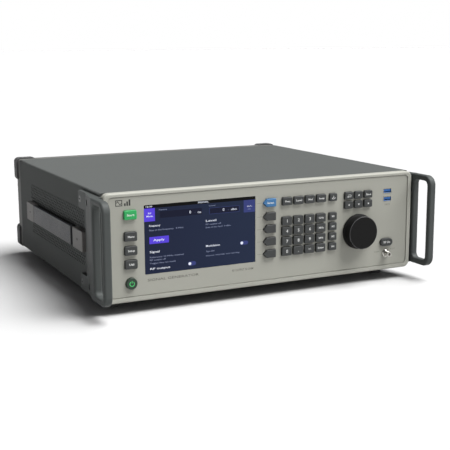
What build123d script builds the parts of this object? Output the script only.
from build123d import *

import os

os.makedirs("parts", exist_ok=True)

# A bench and rack radio-frequency signal generator, three rack units high.
# Millimetres. +X runs to the user's right, +Y from the front to the back, +Z up.
# The origin is the centre of the footprint, on the surface that the feet stand on.

# ---- Driving dimensions -------------------------------------------------------
BODY_WIDTH = 440.0
BODY_HEIGHT = 132.5
CORNER_RADIUS = 8.5
SLEEVE_RADIUS = 2.6
REAR_FRAME_RADIUS = 4.0
FOOT_HEIGHT = 14.8
HANDLE_REACH = 36.3
BEZEL_DEPTH = 10.0
COVER_START = 10.4
COVER_END = 378.0
REAR_FRAME_START = 378.4
REAR_FRAME_END = 397.0
CORNER_FOOT_END = 405.0
SHEET = 1.2

PANEL_WIDTH = 426.8
PANEL_HEIGHT = 121.2
PANEL_MIDDLE = 67.1
PANEL_RADIUS = 5.0
PANEL_FRONT = 0.8
PANEL_BACK = 3.8
BOARD_FRONT = 8.6
BOARD_THICKNESS = 1.6
SEAM = 0.4

KEY_RISE = 2.5
KEY_TRAVEL = 0.8
KEY_CLEARANCE = 0.3
KEY_FLANGE = 0.75
FLANGE_FRONT = 4.2
FLANGE_BACK = 5.4
PLUNGER_BACK = 7.2
DOME_RISE = 0.4


def across(x):
    """X of a point given from the left edge of the body."""
    return x - BODY_WIDTH / 2


def behind(depth):
    """Y of a point given from the face of the bezel, positive towards the back."""
    return depth + HANDLE_REACH - (HANDLE_REACH + CORNER_FOOT_END) / 2


def above(z):
    """Z of a point given from the lower edge of the body."""
    return z + FOOT_HEIGHT


def front_plane(depth):
    """Plane that faces the user; its own axes are the model's X and Z."""
    return Plane.XZ.offset(-behind(depth))


def side_plane(x):
    """Plane across the body at x; its own axes are the model's Y and Z."""
    return Plane.YZ.offset(across(x))


def level_plane(z):
    """Level plane; its own axes are the model's X and Y."""
    return Plane.XY.offset(above(z))


def at(x, z):
    """Place on a front plane."""
    return Locations((across(x), above(z)))


def axis_at(x, z):
    """Line from front to back through x, z."""
    return Axis((across(x), 0, above(z)), (0, 1, 0))


def slab(front, back, mode=Mode.ADD):
    """Extrude the pending sketch, drawn at the back, forward to the front."""
    extrude(amount=back - front, mode=mode)


# ---- Keys: outlines and places ------------------------------------------------
def rectangle_key(width, height):
    RectangleRounded(width, height, 1.6)


def pill_key():
    SlotOverall(19.3, 10.3)


def power_key():
    Circle(7.0)


def pointed_key():
    """Screen key with a blunt point towards the display."""
    half_width, half_height, shoulder = 8.75, 5.1, 4.6
    Polygon(
        (-half_width, 0),
        (shoulder - half_width, -half_height),
        (half_width, -half_height),
        (half_width, half_height),
        (shoulder - half_width, half_height),
        align=None,
    )


def small_key():
    rectangle_key(14.2, 10.1)


def digit_key():
    rectangle_key(14.2, 11.2)


def memory_key():
    rectangle_key(11.5, 10.1)


def arrow_key():
    rectangle_key(12.6, 9.8)


def tray_key():
    rectangle_key(11.2, 9.8)


def left_key():
    rectangle_key(15.7, 10.9)


KEYS = {}
for name, z in (("home", 106.1), ("mode_upper", 80.2), ("mode_middle", 63.2), ("mode_lower", 46.5)):
    KEYS[f"key_{name}"] = (33.0, z, left_key)
KEYS["power_button"] = (33.0, 23.0, power_key)
KEYS["screen_key_1"] = (219.85, 106.1, pointed_key)
for row in range(4):
    KEYS[f"screen_key_{row + 2}"] = (219.85, 88.5 - 16.0 * row, pointed_key)
for column, name in enumerate(("frequency", "level", "modulation", "sweep")):
    KEYS[f"key_{name}"] = (245.1 + 16.87 * column, 106.1, small_key)
KEYS["key_recall"] = (314.0, 106.1, tray_key)
KEYPAD = (
    ("1", "2", "3", "giga"),
    ("4", "5", "6", "mega"),
    ("7", "8", "9", "kilo"),
    ("0", "point", "sign", "enter"),
)
for row, names in enumerate(KEYPAD):
    for column, name in enumerate(names):
        KEYS[f"key_{name}"] = (244.8 + 16.9 * column, 80.7 - 13.2 * row, digit_key)
for row in range(4):
    KEYS[f"key_memory_{row + 1}"] = (313.8, 81.1 - 13.4 * row, memory_key)
CLUSTER = (("back", "up", "save"), ("left", "down", "right"))
for row, names in enumerate(CLUSTER):
    for column, name in enumerate(names):
        KEYS[f"key_{name}"] = (338.2 + 15.15 * column, 106.2 - 12.2 * row, arrow_key)
KEYS["key_rf_output"] = (400.0, 38.2, pill_key)


def make_key(x, z, outline):
    """Cap, flange that holds it behind the panel, and plunger over its dome."""
    with BuildPart() as key:
        with BuildSketch(front_plane(FLANGE_FRONT)):
            with at(x, z):
                outline()
        slab(-KEY_RISE, FLANGE_FRONT)
        fillet(key.faces().sort_by(Axis.Y)[0].edges(), 0.7)
        with BuildSketch(front_plane(FLANGE_BACK)):
            with at(x, z):
                outline()
            offset(amount=KEY_FLANGE, kind=Kind.INTERSECTION)
        slab(FLANGE_FRONT, FLANGE_BACK)
        with BuildSketch(front_plane(PLUNGER_BACK)):
            with at(x, z):
                Circle(2.2)
        slab(FLANGE_BACK, PLUNGER_BACK)
    return key.part


for name, (x, z, outline) in KEYS.items():
    key_part = make_key(x, z, outline)
    key_part.label = name
    export_step(key_part, f"parts/{name}.step")


# ---- Front bezel ----------------------------------------------------------------
LEDGE_BACK = 6.4
LEDGE_WIDTH = 4.0

with BuildPart() as front_bezel:
    with BuildSketch(front_plane(BEZEL_DEPTH)):
        with at(BODY_WIDTH / 2, BODY_HEIGHT / 2):
            RectangleRounded(BODY_WIDTH, BODY_HEIGHT, CORNER_RADIUS)
    slab(0, BEZEL_DEPTH)
    fillet(front_bezel.faces().sort_by(Axis.Y)[0].edges(), 2.2)
    with BuildSketch(front_plane(PANEL_BACK)):
        with at(BODY_WIDTH / 2, PANEL_MIDDLE):
            RectangleRounded(PANEL_WIDTH + 2 * SEAM, PANEL_HEIGHT + 2 * SEAM, PANEL_RADIUS)
    slab(0, PANEL_BACK, Mode.SUBTRACT)
    with BuildSketch(front_plane(LEDGE_BACK)):
        with at(BODY_WIDTH / 2, PANEL_MIDDLE):
            RectangleRounded(PANEL_WIDTH - 2 * LEDGE_WIDTH, PANEL_HEIGHT - 2 * LEDGE_WIDTH, 2.0)
    slab(PANEL_BACK, LEDGE_BACK, Mode.SUBTRACT)
    with BuildSketch(front_plane(BEZEL_DEPTH)):
        with at(BODY_WIDTH / 2, PANEL_MIDDLE):
            RectangleRounded(PANEL_WIDTH, PANEL_HEIGHT, PANEL_RADIUS)
    slab(LEDGE_BACK, BEZEL_DEPTH, Mode.SUBTRACT)
front_bezel.part.label = "front_bezel"
export_step(front_bezel.part, "parts/front_bezel.step")


# ---- Front panel ----------------------------------------------------------------
DISPLAY_CENTRE = (125.75, 73.65)
DISPLAY_WIDTH = 149.5
DISPLAY_HEIGHT = 84.5
KNOB_CENTRE = (353.5, 57.4)
BUSHING_RADIUS = 4.5
USB_CENTRES = ((401.0, 108.1), (401.0, 97.3))
USB_WIDTH = 13.1
USB_HEIGHT = 6.1
RF_CENTRE = (400.2, 22.7)
RF_BARREL_RADIUS = 3.0

with BuildPart() as front_panel:
    with BuildSketch(front_plane(PANEL_BACK)):
        with at(BODY_WIDTH / 2, PANEL_MIDDLE):
            RectangleRounded(PANEL_WIDTH, PANEL_HEIGHT, PANEL_RADIUS - SEAM)
        with at(*DISPLAY_CENTRE):
            RectangleRounded(DISPLAY_WIDTH, DISPLAY_HEIGHT, 1.5, mode=Mode.SUBTRACT)
        with at(*KNOB_CENTRE):
            Circle(BUSHING_RADIUS + 0.3, mode=Mode.SUBTRACT)
        for centre in USB_CENTRES:
            with at(*centre):
                Rectangle(USB_WIDTH + 0.4, USB_HEIGHT + 0.4, mode=Mode.SUBTRACT)
        with at(*RF_CENTRE):
            Circle(RF_BARREL_RADIUS + 0.3, mode=Mode.SUBTRACT)
    slab(PANEL_FRONT, PANEL_BACK)
    fillet(front_panel.faces().sort_by(Axis.Y)[0].outer_wire().edges(), 0.5)
    for x, z, outline in KEYS.values():
        with BuildSketch(front_plane(PANEL_BACK)):
            with at(x, z):
                outline()
            offset(amount=KEY_CLEARANCE)
        slab(PANEL_FRONT, PANEL_BACK, Mode.SUBTRACT)
front_panel.part.label = "front_panel"
export_step(front_panel.part, "parts/front_panel.step")


# ---- Display: cover glass and liquid-crystal module -------------------------------
with BuildPart() as display_module:
    with BuildSketch(front_plane(PANEL_BACK)):
        with at(*DISPLAY_CENTRE):
            RectangleRounded(DISPLAY_WIDTH - 0.4, DISPLAY_HEIGHT - 0.4, 1.3)
    slab(1.3, PANEL_BACK)
    with BuildSketch(front_plane(10.2)):
        with at(*DISPLAY_CENTRE):
            Rectangle(DISPLAY_WIDTH + 6.0, DISPLAY_HEIGHT + 8.0)
    slab(PANEL_BACK + 0.2, 10.2)
display_module.part.label = "display_module"
export_step(display_module.part, "parts/display_module.step")


# ---- Circuit boards: two key boards with their domes, and the main board -----------
BOARD_BACK = BOARD_FRONT + BOARD_THICKNESS
MAIN_BOARD_Z = 12.0
MAIN_BOARD = (330.0, 300.0)
MAIN_BOARD_CENTRE = (255.0, 195.0)
SIDE_BOARD = (26.0, 112.0)
SIDE_BOARD_CENTRE = (32.5, 66.0)
KEY_BOARD = (222.0, 112.0)
KEY_BOARD_CENTRE = (317.0, 66.0)
DOME_RADIUS = 3.0

with BuildPart() as circuit_boards:
    with BuildSketch(front_plane(BOARD_BACK)):
        with at(*SIDE_BOARD_CENTRE):
            Rectangle(*SIDE_BOARD)
        with at(*KEY_BOARD_CENTRE):
            Rectangle(*KEY_BOARD)
        with at(USB_CENTRES[0][0], 102.7):
            Rectangle(17.0, 19.4, mode=Mode.SUBTRACT)
        with at(*RF_CENTRE):
            Circle(8.0, mode=Mode.SUBTRACT)
    slab(BOARD_FRONT, BOARD_BACK)
    for x, z, outline in KEYS.values():
        with BuildSketch(front_plane(BOARD_FRONT)):
            with at(x, z):
                Circle(DOME_RADIUS)
        slab(BOARD_FRONT - DOME_RISE, BOARD_FRONT)
    with BuildSketch(level_plane(MAIN_BOARD_Z)):
        with Locations((across(MAIN_BOARD_CENTRE[0]), behind(MAIN_BOARD_CENTRE[1]))):
            Rectangle(*MAIN_BOARD)
        with Locations((across(120.0), behind(300.0))):
            Rectangle(60.0, 90.0, mode=Mode.SUBTRACT)
    extrude(amount=BOARD_THICKNESS)
circuit_boards.part.label = "circuit_boards"
export_step(circuit_boards.part, "parts/circuit_boards.step")


# ---- Tuning knob and its shaft ----------------------------------------------------
KNOB_RADIUS = 22.4
KNOB_SKIRT_RADIUS = 23.3
KNOB_FRONT = -15.0
KNOB_BACK = -0.6
SHAFT_RADIUS = 3.0
SHAFT_END = 8.0

with BuildPart() as tuning_knob:
    with BuildSketch(level_plane(KNOB_CENTRE[1])):
        with BuildLine(Plane.XY.move(Location((across(KNOB_CENTRE[0]), behind(0))))):
            Polyline(
                (0, KNOB_FRONT),
                (KNOB_RADIUS - 0.5, KNOB_FRONT),
                (KNOB_RADIUS, KNOB_BACK - 4.0),
                (KNOB_SKIRT_RADIUS, KNOB_BACK - 3.2),
                (KNOB_SKIRT_RADIUS, KNOB_BACK),
                (7.0, KNOB_BACK),
                (7.0, KNOB_BACK - 3.0),
                (SHAFT_RADIUS, KNOB_BACK - 3.0),
                (SHAFT_RADIUS, SHAFT_END),
                (0, SHAFT_END),
                close=True,
            )
        make_face()
    revolve(axis=axis_at(*KNOB_CENTRE))
    fillet(tuning_knob.faces().sort_by(Axis.Y)[0].edges(), 1.4)
tuning_knob.part.label = "tuning_knob"
export_step(tuning_knob.part, "parts/tuning_knob.step")


# ---- Front connectors: two data sockets and the coaxial output --------------------
USB_WALL = 0.4
USB_DEPTH = 14.0
RF_THREAD_RADIUS = 3.175
RF_REACH = 8.6

with BuildPart() as front_connectors:
    for x, z in USB_CENTRES:
        with BuildSketch(front_plane(USB_DEPTH)):
            with at(x, z):
                Rectangle(USB_WIDTH, USB_HEIGHT)
        slab(0.5, USB_DEPTH)
        with BuildSketch(front_plane(USB_DEPTH - 1.0)):
            with at(x, z):
                Rectangle(USB_WIDTH - 2 * USB_WALL, USB_HEIGHT - 2 * USB_WALL)
                with Locations((0, 0.7)):
                    Rectangle(11.1, 1.8, mode=Mode.SUBTRACT)
        slab(0.5, USB_DEPTH - 1.0, Mode.SUBTRACT)
        with BuildSketch(front_plane(1.6)):
            with at(x, z):
                Rectangle(USB_WIDTH - 2 * USB_WALL, USB_HEIGHT - 2 * USB_WALL)
        slab(0.5, 1.6, Mode.SUBTRACT)
    with BuildSketch(level_plane(RF_CENTRE[1])):
        with BuildLine(Plane.XY.move(Location((across(RF_CENTRE[0]), behind(0))))):
            Polyline(
                (0.64, -RF_REACH + 1.5),
                (0.64, -RF_REACH + 5.0),
                (2.05, -RF_REACH + 5.0),
                (2.05, -RF_REACH),
                (RF_THREAD_RADIUS, -RF_REACH),
                (RF_THREAD_RADIUS, -2.2),
                (5.6, -0.6),
                (5.6, PANEL_FRONT),
                (RF_BARREL_RADIUS, PANEL_FRONT),
                (RF_BARREL_RADIUS, 22.0),
                (0, 22.0),
                (0, -RF_REACH + 1.5),
                close=True,
            )
        make_face()
    revolve(axis=axis_at(*RF_CENTRE))
    with BuildSketch(front_plane(-0.6)):
        with at(*RF_CENTRE):
            RegularPolygon(4.6, 6)
    slab(-3.0, -0.6)
    with BuildSketch(front_plane(8.0)):
        with at(*RF_CENTRE):
            RegularPolygon(5.0, 6)
            Circle(RF_BARREL_RADIUS, mode=Mode.SUBTRACT)
    slab(PANEL_BACK, 8.0)
front_connectors.part.label = "front_connectors"
export_step(front_connectors.part, "parts/front_connectors.step")


# ---- Front handles ----------------------------------------------------------------
HANDLE_OUTER = -13.2
HANDLE_INNER = -3.1
HANDLE_LOW = 5.5
HANDLE_HIGH = 128.8
HANDLE_BAR = 7.6
HANDLE_ROOT = 7.8
WINDOW_BACK = -0.5
WINDOW_LOW = 13.5
WINDOW_HIGH = 121.5
FLANK = -5.0
BRACKET_BACK = 52.0
LUG_BACK = 77.0
HANDLE_SCREWS = ((39.5, 14.0), (71.0, 14.0), (39.5, 118.0), (71.0, 118.0))

with BuildPart() as front_handles:
    with BuildSketch(side_plane(HANDLE_OUTER)) as loop:
        with Locations((behind((HANDLE_ROOT - HANDLE_REACH) / 2), above((HANDLE_LOW + HANDLE_HIGH) / 2))):
            Rectangle(HANDLE_ROOT + HANDLE_REACH, HANDLE_HIGH - HANDLE_LOW)
        fillet(loop.vertices().group_by(Axis.X)[0], 13.0)
        window_front = HANDLE_BAR - HANDLE_REACH
        with Locations((behind((window_front + WINDOW_BACK) / 2), above((WINDOW_LOW + WINDOW_HIGH) / 2))):
            RectangleRounded(WINDOW_BACK - window_front, WINDOW_HIGH - WINDOW_LOW, 6.5, mode=Mode.SUBTRACT)
    extrude(amount=HANDLE_INNER - HANDLE_OUTER)
    fillet(front_handles.faces().sort_by(Axis.X)[0].edges(), 2.8)
    fillet(front_handles.faces().sort_by(Axis.X)[-1].edges(), 2.2)
    with BuildSketch(level_plane(HANDLE_LOW)):
        with BuildLine(Plane.XY.move(Location((across(0), behind(0))))):
            Polyline(
                (0, 4.0),
                (0, BRACKET_BACK),
                (FLANK, BRACKET_BACK),
                (FLANK, BRACKET_BACK - 4.0),
                (HANDLE_OUTER + 0.9, HANDLE_ROOT + 0.7),
                (HANDLE_OUTER + 0.9, 4.0),
                close=True,
            )
        make_face()
    extrude(amount=HANDLE_HIGH - HANDLE_LOW - 0.4)
    with BuildSketch(side_plane(FLANK)):
        for low, high in ((HANDLE_LOW - 1.5, 24.5), (106.5, HANDLE_HIGH - 0.4)):
            with Locations((behind((30.0 + LUG_BACK) / 2), above((low + high) / 2))):
                RectangleRounded(LUG_BACK - 30.0, high - low, 2.5)
    extrude(amount=-FLANK)
    for depth, z in HANDLE_SCREWS:
        with BuildSketch(side_plane(0)):
            with Locations((behind(depth), above(z))):
                Circle(2.1)
        extrude(amount=-20.0, mode=Mode.SUBTRACT)
        with BuildSketch(side_plane(FLANK + 2.4)):
            with Locations((behind(depth), above(z))):
                Circle(2.1)
        with BuildSketch(side_plane(FLANK)):
            with Locations((behind(depth), above(z))):
                Circle(4.2)
        loft(mode=Mode.SUBTRACT)
        with BuildSketch(side_plane(FLANK)):
            with Locations((behind(depth), above(z))):
                Circle(4.2)
        extrude(amount=-5.0, mode=Mode.SUBTRACT)
    mirror(about=Plane.YZ)
front_handles.part.label = "front_handles"
export_step(front_handles.part, "parts/front_handles.step")


# ---- Sleeve cover -----------------------------------------------------------------
FOOT_PLACES = ((24.0, 45.0), (416.0, 45.0), (24.0, 330.0), (416.0, 330.0))
STRAP_Z = 66.5
CAP_SCREWS = (78.0, 298.5)
BOSS_RADIUS = 1.6

with BuildPart() as sleeve_cover:
    with BuildSketch(front_plane(COVER_END)):
        with at(BODY_WIDTH / 2, BODY_HEIGHT / 2):
            RectangleRounded(BODY_WIDTH, BODY_HEIGHT, SLEEVE_RADIUS)
            inner_width = BODY_WIDTH - 2 * SHEET
            inner_height = BODY_HEIGHT - 2 * SHEET
            RectangleRounded(inner_width, inner_height, SLEEVE_RADIUS - SHEET, mode=Mode.SUBTRACT)
    slab(COVER_START, COVER_END)
    for depth, z in HANDLE_SCREWS:
        with BuildSketch(side_plane(-1)):
            with Locations((behind(depth), above(z))):
                Circle(2.1)
        extrude(amount=BODY_WIDTH + 2, mode=Mode.SUBTRACT)
    for depth in CAP_SCREWS:
        with BuildSketch(side_plane(-1)):
            with Locations((behind(depth), above(STRAP_Z))):
                Circle(BOSS_RADIUS)
        extrude(amount=4.0, mode=Mode.SUBTRACT)
    for x, depth in FOOT_PLACES:
        with BuildSketch(level_plane(-1)):
            with Locations((across(x), behind(depth))):
                Circle(BOSS_RADIUS)
        extrude(amount=4.0, mode=Mode.SUBTRACT)
sleeve_cover.part.label = "sleeve_cover"
export_step(sleeve_cover.part, "parts/sleeve_cover.step")


# ---- Chassis: open tray that slides into the sleeve --------------------------------
CHASSIS_GAP = 0.4
CHASSIS_SHEET = 1.5
CHASSIS_FRONT = 10.6
CHASSIS_BACK = COVER_END - 0.6
CHASSIS_LOW = SHEET + CHASSIS_GAP
CHASSIS_HIGH = 122.0

with BuildPart() as chassis_tray:
    outer_half = BODY_WIDTH / 2 - SHEET - CHASSIS_GAP
    with BuildSketch(front_plane(CHASSIS_BACK)):
        with at(BODY_WIDTH / 2, (CHASSIS_LOW + CHASSIS_HIGH) / 2):
            RectangleRounded(2 * outer_half, CHASSIS_HIGH - CHASSIS_LOW, CORNER_RADIUS - SHEET)
        with at(BODY_WIDTH / 2, (CHASSIS_LOW + 2 * CHASSIS_HIGH) / 2 + CHASSIS_SHEET):
            inner_radius = CORNER_RADIUS - SHEET - CHASSIS_SHEET
            inner_height = 2 * CHASSIS_HIGH - CHASSIS_LOW
            RectangleRounded(2 * (outer_half - CHASSIS_SHEET), inner_height, inner_radius, mode=Mode.SUBTRACT)
    slab(CHASSIS_FRONT, CHASSIS_BACK)
    for depth, z in HANDLE_SCREWS:
        with BuildSketch(side_plane(-1)):
            with Locations((behind(depth), above(z))):
                Circle(2.1)
        extrude(amount=BODY_WIDTH + 2, mode=Mode.SUBTRACT)
chassis_tray.part.label = "chassis_tray"
export_step(chassis_tray.part, "parts/chassis_tray.step")


# ---- Rear frame -------------------------------------------------------------------
REAR_OPENING_WIDTH = 418.0
REAR_OPENING_HEIGHT = 111.0
REAR_PANEL_FRONT = 389.0
REAR_PANEL_BACK = 391.0
CORNER_FOOT_SPAN = 29.0
REAR_REBATE = 7.0
REAR_SCREW_HOLE = 1.9
REAR_SCREW_DEPTH = 8.0
REAR_SCREWS = ((14.0, 115.5), (426.0, 115.5), (14.0, 15.0), (426.0, 15.0))

with BuildPart() as rear_frame:
    with BuildSketch(front_plane(REAR_FRAME_END)):
        with at(BODY_WIDTH / 2, BODY_HEIGHT / 2):
            RectangleRounded(BODY_WIDTH, BODY_HEIGHT, REAR_FRAME_RADIUS)
            RectangleRounded(REAR_OPENING_WIDTH, REAR_OPENING_HEIGHT, 3.0, mode=Mode.SUBTRACT)
    slab(REAR_FRAME_START, REAR_FRAME_END)
    with BuildSketch(front_plane(REAR_PANEL_BACK)):
        with at(BODY_WIDTH / 2, BODY_HEIGHT / 2):
            Rectangle(REAR_OPENING_WIDTH + REAR_REBATE, REAR_OPENING_HEIGHT + REAR_REBATE)
    slab(REAR_FRAME_START, REAR_PANEL_BACK, Mode.SUBTRACT)
    with BuildSketch(front_plane(REAR_FRAME_END)):
        for x, z in REAR_SCREWS:
            with at(x, z):
                Circle(REAR_SCREW_HOLE)
    slab(REAR_FRAME_END - REAR_SCREW_DEPTH, REAR_FRAME_END, Mode.SUBTRACT)
    fillet(rear_frame.faces().sort_by(Axis.Y)[-1].outer_wire().edges(), 1.0)
rear_frame.part.label = "rear_frame"
export_step(rear_frame.part, "parts/rear_frame.step")


# ---- Rear panel -------------------------------------------------------------------
FAN_CENTRE = (92.0, 66.0)
FAN_SIZE = 80.0
FAN_BOLT_PITCH = 71.5
INLET_CENTRE = (392.0, 34.0)
BNC_CENTRES = ((180.0, 94.0), (212.0, 94.0), (244.0, 94.0), (276.0, 94.0))
NETWORK_CENTRE = (196.0, 36.0)
HOST_CENTRE = (228.0, 36.0)
GROUND_CENTRE = (356.0, 30.0)
INLET_BODY = (27.6, 19.8)
NETWORK_BODY = (16.2, 13.6)
HOST_BODY = (12.1, 11.0)
BNC_BARREL_RADIUS = 6.2
VENT_CENTRE = (372.0, 92.0)
VENT_PITCH = 12.0
VENT_LENGTH = 9.0
VENT_WIDTH = 4.0
VENT_ROWS = 3
VENT_COLUMNS = 7
GUARD_RADII = (32.0, 24.5, 17.0)
GUARD_GAP = 5.0
GUARD_CENTRE_RADIUS = 14.0
GUARD_SPOKE = (76.0, 4.0)
FAN_BOLT_RADIUS = 2.0
INLET_BOLT_PITCH = 40.0
INLET_BOLT_RADIUS = 1.7
CUTOUT_GAP = 0.6
GROUND_HOLE_RADIUS = 2.1

with BuildPart() as rear_panel:
    with BuildSketch(front_plane(REAR_PANEL_BACK)):
        with at(BODY_WIDTH / 2, BODY_HEIGHT / 2):
            Rectangle(REAR_OPENING_WIDTH + REAR_REBATE - 0.8, REAR_OPENING_HEIGHT + REAR_REBATE - 0.8)
        with at(*FAN_CENTRE):
            for radius in GUARD_RADII:
                Circle(radius + GUARD_GAP, mode=Mode.SUBTRACT)
                Circle(radius)
            Circle(GUARD_CENTRE_RADIUS)
            with Locations(Rotation(0, 0, 45)):
                Rectangle(*GUARD_SPOKE)
                Rectangle(*reversed(GUARD_SPOKE))
            with GridLocations(FAN_BOLT_PITCH, FAN_BOLT_PITCH, 2, 2):
                Circle(FAN_BOLT_RADIUS, mode=Mode.SUBTRACT)
        with at(*INLET_CENTRE):
            with GridLocations(INLET_BOLT_PITCH, 1.0, 2, 1):
                Circle(INLET_BOLT_RADIUS, mode=Mode.SUBTRACT)
        sockets = ((INLET_CENTRE, INLET_BODY), (NETWORK_CENTRE, NETWORK_BODY), (HOST_CENTRE, HOST_BODY))
        for centre, body in sockets:
            with at(*centre):
                Rectangle(body[0] + CUTOUT_GAP, body[1] + CUTOUT_GAP, mode=Mode.SUBTRACT)
        for centre in BNC_CENTRES:
            with at(*centre):
                Circle(BNC_BARREL_RADIUS + 0.2, mode=Mode.SUBTRACT)
        with at(*GROUND_CENTRE):
            Circle(GROUND_HOLE_RADIUS, mode=Mode.SUBTRACT)
        with at(*VENT_CENTRE):
            with GridLocations(VENT_PITCH, VENT_PITCH, VENT_COLUMNS, VENT_ROWS):
                SlotOverall(VENT_LENGTH, VENT_WIDTH, mode=Mode.SUBTRACT)
    slab(REAR_PANEL_FRONT, REAR_PANEL_BACK)
rear_panel.part.label = "rear_panel"
export_step(rear_panel.part, "parts/rear_panel.step")


# ---- Rear connectors --------------------------------------------------------------
BNC_REACH = 404.6
INLET_FLANGE = (48.0, 23.0)
INLET_MOUTH = (24.4, 16.6)
INLET_FACE = REAR_PANEL_BACK + 2.4
SOCKET_FACE = REAR_PANEL_BACK + 0.5

with BuildPart() as rear_connectors:
    with BuildSketch(front_plane(INLET_FACE)):
        with at(*INLET_CENTRE):
            RectangleRounded(*INLET_FLANGE, 3.0)
            with GridLocations(INLET_BOLT_PITCH, 1.0, 2, 1):
                Circle(INLET_BOLT_RADIUS, mode=Mode.SUBTRACT)
    slab(REAR_PANEL_BACK, INLET_FACE)
    with BuildSketch(front_plane(REAR_PANEL_BACK)):
        with at(*INLET_CENTRE):
            Rectangle(*INLET_BODY)
    slab(REAR_PANEL_BACK - 16.0, REAR_PANEL_BACK)
    with BuildSketch(front_plane(INLET_FACE)):
        with at(*INLET_CENTRE):
            RectangleRounded(*INLET_MOUTH, 2.5)
            with Locations((0, 3.6), (-7.0, -2.4), (7.0, -2.4)):
                Rectangle(2.0, 4.0, mode=Mode.SUBTRACT)
    slab(REAR_PANEL_BACK - 14.0, INLET_FACE, Mode.SUBTRACT)
    for centre, body, mouth, depth in (
        (NETWORK_CENTRE, NETWORK_BODY, (11.9, 8.4), 12.0),
        (HOST_CENTRE, HOST_BODY, (8.6, 7.8), 10.0),
    ):
        with BuildSketch(front_plane(SOCKET_FACE)):
            with at(*centre):
                Rectangle(*body)
        slab(REAR_PANEL_BACK - 15.0, SOCKET_FACE)
        with BuildSketch(front_plane(SOCKET_FACE)):
            with at(*centre):
                Rectangle(*mouth)
        slab(SOCKET_FACE - depth, SOCKET_FACE, Mode.SUBTRACT)
    with BuildSketch(front_plane(SOCKET_FACE)):
        with at(*HOST_CENTRE):
            Rectangle(5.6, 3.2)
    slab(REAR_PANEL_BACK - 9.5, REAR_PANEL_BACK - 0.5)
    for x, z in BNC_CENTRES:
        with BuildSketch(level_plane(z)):
            with BuildLine(Plane.XY.move(Location((across(x), behind(0))))):
                Polyline(
                    (0, REAR_PANEL_BACK - 14.0),
                    (BNC_BARREL_RADIUS, REAR_PANEL_BACK - 14.0),
                    (BNC_BARREL_RADIUS, REAR_PANEL_BACK),
                    (7.6, REAR_PANEL_BACK),
                    (7.6, REAR_PANEL_BACK + 2.2),
                    (4.8, REAR_PANEL_BACK + 2.2),
                    (4.8, BNC_REACH),
                    (4.0, BNC_REACH),
                    (4.0, REAR_PANEL_BACK + 3.0),
                    (1.2, REAR_PANEL_BACK + 3.0),
                    (1.2, BNC_REACH - 3.0),
                    (0, BNC_REACH - 3.0),
                    close=True,
                )
            make_face()
        revolve(axis=axis_at(x, z))
        with BuildSketch(level_plane(z - 5.6)):
            with Locations((across(x), behind(BNC_REACH - 3.0))):
                Circle(1.0)
        extrude(amount=1.4)
        with BuildSketch(level_plane(z + 4.2)):
            with Locations((across(x), behind(BNC_REACH - 3.0))):
                Circle(1.0)
        extrude(amount=1.4)
    with BuildSketch(front_plane(REAR_PANEL_BACK + 12.0)):
        with at(*GROUND_CENTRE):
            Circle(2.0)
    slab(REAR_PANEL_FRONT - 4.0, REAR_PANEL_BACK + 12.0)
    with BuildSketch(front_plane(REAR_PANEL_BACK + 3.2)):
        with at(*GROUND_CENTRE):
            RegularPolygon(4.0, 6)
    slab(REAR_PANEL_BACK, REAR_PANEL_BACK + 3.2)
rear_connectors.part.label = "rear_connectors"
export_step(rear_connectors.part, "parts/rear_connectors.step")


# ---- Feet: four at the rear corners, four under the sleeve --------------------------
CORNER_FOOT_PROUD = 2.5
CORNER_FOOT_TOP = 134.2
CORNER_FOOT_HEIGHT = 34.0
CORNER_FOOT_WRAP = 9.0
FOOT_TOP_RADIUS = 8.6
FOOT_TREAD_RADIUS = 7.0
FOOT_SCREW_POCKET = 3.2

with BuildPart() as case_feet:
    foot_width = CORNER_FOOT_SPAN + CORNER_FOOT_PROUD
    for x, inward in ((-CORNER_FOOT_PROUD, 1), (BODY_WIDTH + CORNER_FOOT_PROUD, -1)):
        upper = CORNER_FOOT_TOP - CORNER_FOOT_HEIGHT / 2
        for middle in (upper, BODY_HEIGHT - upper):
            with BuildSketch(front_plane(CORNER_FOOT_END)):
                with at(x + inward * foot_width / 2, middle):
                    RectangleRounded(foot_width, CORNER_FOOT_HEIGHT, 6.5)
            slab(REAR_FRAME_END - CORNER_FOOT_WRAP, CORNER_FOOT_END)
    fillet(case_feet.faces().filter_by(Axis.Y).group_by(Axis.Y)[-1].edges(), 2.4)
    with BuildSketch(front_plane(REAR_FRAME_END)):
        with at(BODY_WIDTH / 2, BODY_HEIGHT / 2):
            RectangleRounded(BODY_WIDTH, BODY_HEIGHT, REAR_FRAME_RADIUS)
    slab(REAR_FRAME_END - CORNER_FOOT_WRAP, REAR_FRAME_END, Mode.SUBTRACT)
    for x, z in REAR_SCREWS:
        with BuildSketch(front_plane(CORNER_FOOT_END)):
            with at(x, z):
                Circle(4.0)
        slab(REAR_FRAME_END + 3.0, CORNER_FOOT_END, Mode.SUBTRACT)
        with BuildSketch(front_plane(CORNER_FOOT_END)):
            with at(x, z):
                Circle(REAR_SCREW_HOLE)
        slab(REAR_FRAME_END, CORNER_FOOT_END, Mode.SUBTRACT)
    for x, depth in FOOT_PLACES:
        with BuildSketch(level_plane(-FOOT_HEIGHT)):
            with Locations((across(x), behind(depth))):
                Circle(FOOT_TREAD_RADIUS)
        with BuildSketch(level_plane(0)):
            with Locations((across(x), behind(depth))):
                Circle(FOOT_TOP_RADIUS)
        loft()
        with BuildSketch(level_plane(-FOOT_HEIGHT)):
            with Locations((across(x), behind(depth))):
                Circle(FOOT_SCREW_POCKET)
        extrude(amount=10.0, mode=Mode.SUBTRACT)
        with BuildSketch(level_plane(0)):
            with Locations((across(x), behind(depth))):
                Circle(BOSS_RADIUS)
        extrude(amount=-FOOT_HEIGHT, mode=Mode.SUBTRACT)
case_feet.part.label = "case_feet"
export_step(case_feet.part, "parts/case_feet.step")


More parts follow.
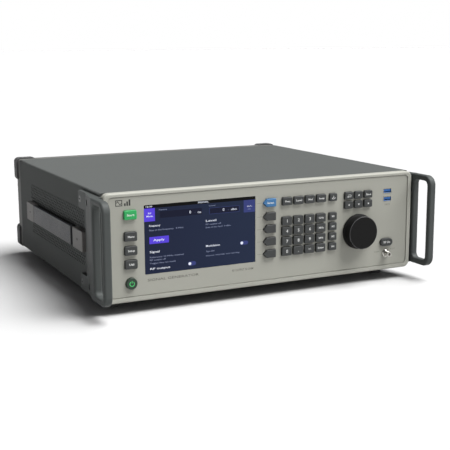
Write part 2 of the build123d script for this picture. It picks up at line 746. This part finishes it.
# ---- Strap handle on the left side, with its two end caps ---------------------------
CAP_PROUD = -8.0
CAP_HEIGHT = 26.0
FRONT_CAP = (58.0, 97.0)
REAR_CAP = (281.0, 316.0)
BAND_INNER = -1.2
BAND_OUTER = -2.4
BAND_HEIGHT = 19.0
GRIP_OUTER = -8.0
GRIP_INNER = -5.0
GRIP_HEIGHT = 25.0
GRIP_FRONT = 105.0
GRIP_BACK = 280.4
GRIP_END = 9.0

with BuildPart() as strap_end_caps:
    for (front, back), mouth in ((FRONT_CAP, 1), (REAR_CAP, -1)):
        with BuildSketch(side_plane(0)):
            with Locations((behind((front + back) / 2), above(STRAP_Z))):
                RectangleRounded(back - front, CAP_HEIGHT, 2.0)
        extrude(amount=CAP_PROUD)
        with BuildSketch(side_plane(0)):
            with Locations((behind((front + back) / 2 + mouth * 3.0), above(STRAP_Z))):
                Rectangle(back - front, BAND_HEIGHT + 3.0)
        extrude(amount=CAP_PROUD + 1.2, mode=Mode.SUBTRACT)
    fillet(strap_end_caps.faces().filter_by(Axis.X).group_by(Axis.X)[0].edges(), 1.0)
    for depth in CAP_SCREWS:
        with BuildSketch(side_plane(CAP_PROUD)):
            with Locations((behind(depth), above(STRAP_Z))):
                Circle(BOSS_RADIUS)
        extrude(amount=2.0, mode=Mode.SUBTRACT)
strap_end_caps.part.label = "strap_end_caps"
export_step(strap_end_caps.part, "parts/strap_end_caps.step")

with BuildPart() as strap_handle:
    with BuildSketch(side_plane(BAND_INNER)):
        with Locations((behind((FRONT_CAP[0] + REAR_CAP[1]) / 2), above(STRAP_Z))):
            Rectangle(REAR_CAP[1] - FRONT_CAP[0] - 10.0, BAND_HEIGHT)
        for depth in CAP_SCREWS:
            with Locations((behind(depth), above(STRAP_Z))):
                SlotOverall(24.0, 6.0, mode=Mode.SUBTRACT)
        with Locations((behind((GRIP_FRONT + GRIP_BACK) / 2), above(STRAP_Z))):
            Rectangle(GRIP_BACK - GRIP_FRONT - GRIP_END, BAND_HEIGHT + 2.0, mode=Mode.SUBTRACT)
    extrude(amount=BAND_OUTER - BAND_INNER)
    with BuildSketch(side_plane(GRIP_INNER)):
        with Locations((behind((GRIP_FRONT + GRIP_BACK) / 2), above(STRAP_Z))):
            RectangleRounded(GRIP_BACK - GRIP_FRONT, GRIP_HEIGHT, 1.5)
    extrude(amount=GRIP_OUTER - GRIP_INNER)
    fillet(strap_handle.faces().filter_by(Axis.X).group_by(Axis.X)[0].edges(), 0.9)
    for start in (GRIP_FRONT, GRIP_BACK - GRIP_END):
        with BuildSketch(side_plane(BAND_INNER)):
            with Locations((behind(start + GRIP_END / 2), above(STRAP_Z))):
                Rectangle(GRIP_END, GRIP_HEIGHT - 4.0)
        extrude(amount=GRIP_INNER - BAND_INNER - 0.5)
strap_handle.part.label = "strap_handle"
export_step(strap_handle.part, "parts/strap_handle.step")


# ---- Inner modules: supply, shielded generator, fan frame and shaft encoder ---------
FAN_DEPTH = 25.0
FAN_BACK = REAR_PANEL_FRONT
FAN_FRONT = FAN_BACK - FAN_DEPTH
FAN_BORE = 38.6
MOTOR_RADIUS = 17.0
AXLE_RADIUS = 2.0
BEARING_GAP = 0.05
MODULE_FLOOR = MAIN_BOARD_Z + BOARD_THICKNESS
MODULE_DEPTH = 190.0
MODULE_RISE = 32.0
SYNTHESIZER_BLOCK = (200.0, 130.0)
OUTPUT_BLOCK_WIDTH = 60.0
SUPPLY_WIDTH = 70.0
SUPPLY_FLOOR = 4.0
SUPPLY_RISE = 92.0
FAN_ARM = (24.0, 4.0)
ENCODER_SIDE = 13.0
BUSHING_FRONT = -2.4

with BuildPart() as inner_modules:
    with BuildSketch(front_plane(FAN_BACK)):
        with at(*FAN_CENTRE):
            RectangleRounded(FAN_SIZE, FAN_SIZE, 4.0)
            Circle(FAN_BORE, mode=Mode.SUBTRACT)
            with GridLocations(FAN_BOLT_PITCH, FAN_BOLT_PITCH, 2, 2):
                Circle(2.0, mode=Mode.SUBTRACT)
    slab(FAN_FRONT, FAN_BACK)
    with BuildSketch(front_plane(FAN_FRONT + 3.0)):
        with at(*FAN_CENTRE):
            Circle(MOTOR_RADIUS)
            with PolarLocations(28.0, 3, start_angle=90):
                Rectangle(*FAN_ARM)
            Circle(AXLE_RADIUS + BEARING_GAP, mode=Mode.SUBTRACT)
    slab(FAN_FRONT, FAN_FRONT + 3.0)
    with BuildSketch(level_plane(SUPPLY_FLOOR)):
        with Locations((across(48.0), behind(150.0))):
            Rectangle(SUPPLY_WIDTH, MODULE_DEPTH)
    extrude(amount=SUPPLY_RISE)
    with BuildSketch(level_plane(MODULE_FLOOR)):
        with Locations((across(210.0), behind(120.0))):
            Rectangle(*SYNTHESIZER_BLOCK)
        with Locations((across(352.0), behind(150.0))):
            Rectangle(OUTPUT_BLOCK_WIDTH, MODULE_DEPTH)
    extrude(amount=MODULE_RISE)
    with BuildSketch(front_plane(BOARD_FRONT)):
        with at(*KNOB_CENTRE):
            RectangleRounded(ENCODER_SIDE, ENCODER_SIDE, 1.0)
            Circle(SHAFT_RADIUS + BEARING_GAP, mode=Mode.SUBTRACT)
    slab(FLANGE_FRONT, BOARD_FRONT)
    with BuildSketch(front_plane(FLANGE_FRONT)):
        with at(*KNOB_CENTRE):
            Circle(BUSHING_RADIUS)
            Circle(SHAFT_RADIUS + BEARING_GAP, mode=Mode.SUBTRACT)
    slab(BUSHING_FRONT, FLANGE_FRONT)
inner_modules.part.label = "inner_modules"
export_step(inner_modules.part, "parts/inner_modules.step")


# ---- Fan rotor --------------------------------------------------------------------
BLADES = 7
BLADE_TIP = 37.2
HUB_FRONT = FAN_FRONT + 3.6
HUB_BACK = FAN_BACK - 1.6

with BuildPart() as fan_rotor:
    with BuildSketch(front_plane(HUB_BACK)):
        with at(*FAN_CENTRE):
            Circle(MOTOR_RADIUS)
    slab(HUB_FRONT, HUB_BACK)
    fillet(fan_rotor.faces().sort_by(Axis.Y)[-1].edges(), 2.0)
    with BuildSketch(front_plane(HUB_FRONT)):
        with at(*FAN_CENTRE):
            Circle(AXLE_RADIUS)
    slab(FAN_FRONT, HUB_FRONT)
    hub_middle = Vector(across(FAN_CENTRE[0]), behind((HUB_FRONT + HUB_BACK) / 2), above(FAN_CENTRE[1]))
    for blade in range(BLADES):
        radial = Vector(1, 0, 0).rotate(Axis.Y, 360 / BLADES * blade)
        pitch_axis = Axis((0, 0, 0), radial)
        blade_normal = Vector(0, 1, 0).rotate(pitch_axis, 50)
        middle = hub_middle + radial * (MOTOR_RADIUS - 2.0)
        with BuildSketch(Plane(origin=middle, x_dir=radial, z_dir=blade_normal)):
            with Locations(((BLADE_TIP - MOTOR_RADIUS) / 2, 0)):
                Rectangle(BLADE_TIP - MOTOR_RADIUS, 20.0)
        extrude(amount=0.8, both=True)
fan_rotor.part.label = "fan_rotor"
export_step(fan_rotor.part, "parts/fan_rotor.step")


# ---- Screws -----------------------------------------------------------------------
SCREW_HEAD_RADIUS = 4.0
SCREW_HEAD_DEPTH = 2.3

with BuildPart() as case_screws:
    for depth, z in HANDLE_SCREWS:
        with BuildSketch(side_plane(FLANK)):
            with Locations((behind(depth), above(z))):
                Circle(SCREW_HEAD_RADIUS)
        with BuildSketch(side_plane(FLANK + SCREW_HEAD_DEPTH)):
            with Locations((behind(depth), above(z))):
                Circle(2.0)
        loft()
        with BuildSketch(side_plane(FLANK + SCREW_HEAD_DEPTH)):
            with Locations((behind(depth), above(z))):
                Circle(2.0)
        extrude(amount=8.0)
        with BuildSketch(side_plane(FLANK)):
            with Locations((behind(depth), above(z))):
                RegularPolygon(1.5, 6)
        extrude(amount=1.4, mode=Mode.SUBTRACT)
    mirror(about=Plane.YZ)
    for x, z in REAR_SCREWS:
        with BuildSketch(front_plane(REAR_FRAME_END + 5.4)):
            with at(x, z):
                Circle(3.4)
                RegularPolygon(1.6, 6, mode=Mode.SUBTRACT)
        slab(REAR_FRAME_END + 3.0, REAR_FRAME_END + 5.4)
        with BuildSketch(front_plane(REAR_FRAME_END + 3.0)):
            with at(x, z):
                Circle(1.8)
        slab(REAR_PANEL_BACK + 0.4, REAR_FRAME_END + 3.0)
    for x, z in ((INLET_CENTRE[0] - 20, INLET_CENTRE[1]), (INLET_CENTRE[0] + 20, INLET_CENTRE[1])):
        with BuildSketch(front_plane(REAR_PANEL_BACK + 4.2)):
            with at(x, z):
                Circle(2.8)
        slab(REAR_PANEL_BACK + 2.4, REAR_PANEL_BACK + 4.2)
        with BuildSketch(front_plane(REAR_PANEL_BACK + 2.4)):
            with at(x, z):
                Circle(1.5)
        slab(REAR_PANEL_FRONT - 3.0, REAR_PANEL_BACK + 2.4)
    with BuildSketch(front_plane(REAR_PANEL_BACK + 2.0)):
        with at(*FAN_CENTRE):
            with GridLocations(FAN_BOLT_PITCH, FAN_BOLT_PITCH, 2, 2):
                Circle(3.4)
    slab(REAR_PANEL_BACK, REAR_PANEL_BACK + 2.0)
    with BuildSketch(front_plane(REAR_PANEL_BACK)):
        with at(*FAN_CENTRE):
            with GridLocations(FAN_BOLT_PITCH, FAN_BOLT_PITCH, 2, 2):
                Circle(1.8)
    slab(FAN_FRONT, REAR_PANEL_BACK)
case_screws.part.label = "case_screws"
export_step(case_screws.part, "parts/case_screws.step")
